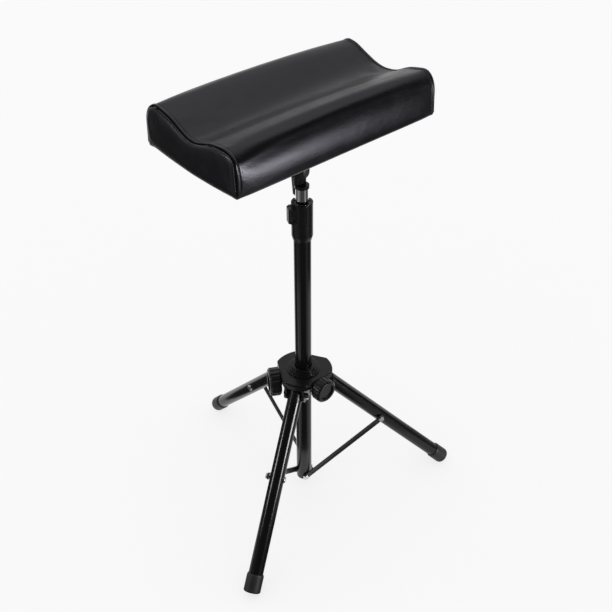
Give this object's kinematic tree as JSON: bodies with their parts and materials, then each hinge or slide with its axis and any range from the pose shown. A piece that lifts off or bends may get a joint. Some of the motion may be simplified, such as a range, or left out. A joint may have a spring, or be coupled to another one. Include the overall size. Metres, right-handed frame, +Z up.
{
  "type": "arm rest stand",
  "caption": "Padded arm rest with a W-shaped cushion on a tilting head, telescopic post and folding tripod with hub knobs.",
  "frame": {"origin": "on the floor, under the column's axis", "axes": "+Z up the column, X along the pad's long side, Y across the pad; the back leg points to +Y"},
  "size_m": [0.4976, 0.435, 0.7955],
  "materials": {
    "painted_tube": "gloss black paint",
    "black_plastic": "satin moulded plastic",
    "nylon": "matt nylon",
    "black_steel": "black coated steel",
    "bright_steel": "zinc plated",
    "chrome": "mirror chrome",
    "rubber_foot": "matt rubber",
    "leather": "semi-gloss fine-grained artificial leather",
    "plywood": "raw plywood",
    "foam": "open-cell foam",
    "dust_cloth": "non-woven cloth"
  },
  "bodies": {
    "column": {"column_tube": "painted_tube", "column_plug": "black_plastic", "brace_anchor_bolts": "bright_steel", "collar": "black_plastic", "collar_bolt": "black_steel", "collar_nut": "bright_steel", "column_sleeve": "nylon"},
    "post_guide": {"post_guide": "nylon"},
    "post": {"post_tube": "chrome", "post_end_plug": "black_plastic", "lower_knuckle": "black_plastic", "tilt_bolt": "black_steel", "tilt_washer": "bright_steel"},
    "tilt_lever": {"tilt_lever": "chrome"},
    "head": {"upper_knuckle": "black_plastic", "head_plate": "black_steel", "pad_screws": "bright_steel", "tee_nuts": "bright_steel", "pad_board": "plywood", "pad_foam_front": "foam", "pad_foam_back": "foam", "pad_cover": "leather", "end_panel_left": "leather", "end_panel_right": "leather", "welt_left": "leather", "welt_right": "leather", "dust_cloth": "dust_cloth", "staples": "bright_steel"},
    "hub": {"hub_body": "black_plastic", "hub_bush": "black_plastic", "hub_pivot_bolts": "black_steel", "hub_pivot_nuts": "bright_steel"},
    "knob_left": {"knob_left": "black_plastic", "knob_left_screw": "bright_steel"},
    "knob_right": {"knob_right": "black_plastic", "knob_right_screw": "bright_steel"},
    "brace_back": {"brace_back": "black_steel"},
    "leg_back": {"leg_tube_back": "painted_tube", "leg_plug_back": "black_plastic", "foot_back": "rubber_foot", "brace_bolt_back": "bright_steel", "brace_spacer_back": "bright_steel"},
    "brace_left": {"brace_left": "black_steel"},
    "leg_left": {"leg_tube_left": "painted_tube", "leg_plug_left": "black_plastic", "foot_left": "rubber_foot", "brace_bolt_left": "bright_steel", "brace_spacer_left": "bright_steel"},
    "brace_right": {"brace_right": "black_steel"},
    "leg_right": {"leg_tube_right": "painted_tube", "leg_plug_right": "black_plastic", "foot_right": "rubber_foot", "brace_bolt_right": "bright_steel", "brace_spacer_right": "bright_steel"}
  },
  "joints": [
    {"name": "fold_back", "type": "hinge", "parent": "column", "child": "brace_back", "pos_m": [0, 0, 0.024], "axis": [1, 0, 0], "range_deg": [0, 35.71]},
    {"name": "leg_back_pivot", "type": "hinge", "parent": "brace_back", "child": "leg_back", "pos_m": [0, 0.14147, 0.14788], "axis": [1, 0, 0], "range_deg": [-78.81, 0]},
    {"name": "fold_left", "type": "hinge", "parent": "column", "child": "brace_left", "pos_m": [0, 0, 0.024], "axis": [-0.5, 0.866, 0], "range_deg": [0, 36.21]},
    {"name": "leg_left_pivot", "type": "hinge", "parent": "brace_left", "child": "leg_left", "pos_m": [-0.12251, -0.07073, 0.14788], "axis": [-0.5, 0.866, 0], "range_deg": [-78.81, 0]},
    {"name": "fold_right", "type": "hinge", "parent": "column", "child": "brace_right", "pos_m": [0, 0, 0.024], "axis": [-0.5, -0.866, 0], "range_deg": [0, 36.21]},
    {"name": "leg_right_pivot", "type": "hinge", "parent": "brace_right", "child": "leg_right", "pos_m": [0.12251, -0.07073, 0.14788], "axis": [-0.5, -0.866, 0], "range_deg": [-78.81, 0]},
    {"name": "hub_pivot", "type": "hinge", "parent": "leg_back", "child": "hub", "pos_m": [0, 0.04, 0.25369], "axis": [1, 0, 0], "range_deg": [0, 43.1]},
    {"name": "knob_left_turn", "type": "hinge", "parent": "hub", "child": "knob_left", "pos_m": [-0.0433, 0.025, 0.25769], "axis": [-0.866, 0.5, 0], "continuous": true},
    {"name": "knob_right_turn", "type": "hinge", "parent": "hub", "child": "knob_right", "pos_m": [0, -0.05, 0.26369], "axis": [0, -1, 0], "continuous": true},
    {"name": "post_slide", "type": "slide", "parent": "column", "child": "post_guide", "axis": [0, 0, 1], "range_m": [-0.006, 0.25]},
    {"name": "post_swivel", "type": "hinge", "parent": "post_guide", "child": "post", "pos_m": [0, 0, 0.6338], "axis": [0, 0, 1], "continuous": true},
    {"name": "pad_tilt", "type": "hinge", "parent": "post", "child": "head", "pos_m": [0, 0, 0.6608], "axis": [0, 1, 0], "range_deg": [-75, 75]},
    {"name": "tilt_lever_turn", "type": "hinge", "parent": "post", "child": "tilt_lever", "pos_m": [0, 0.015, 0.6608], "axis": [0, 1, 0], "continuous": true}
  ],
  "couplings": [
    {"joint": "leg_back_pivot", "follows": "fold_back", "ratio": -2.1929},
    {"joint": "hub_pivot", "follows": "fold_back", "ratio": 1.1929},
    {"joint": "fold_left", "follows": "fold_back", "ratio": 1},
    {"joint": "leg_left_pivot", "follows": "fold_back", "ratio": -2.1929},
    {"joint": "fold_right", "follows": "fold_back", "ratio": 1},
    {"joint": "leg_right_pivot", "follows": "fold_back", "ratio": -2.1929}
  ]
}
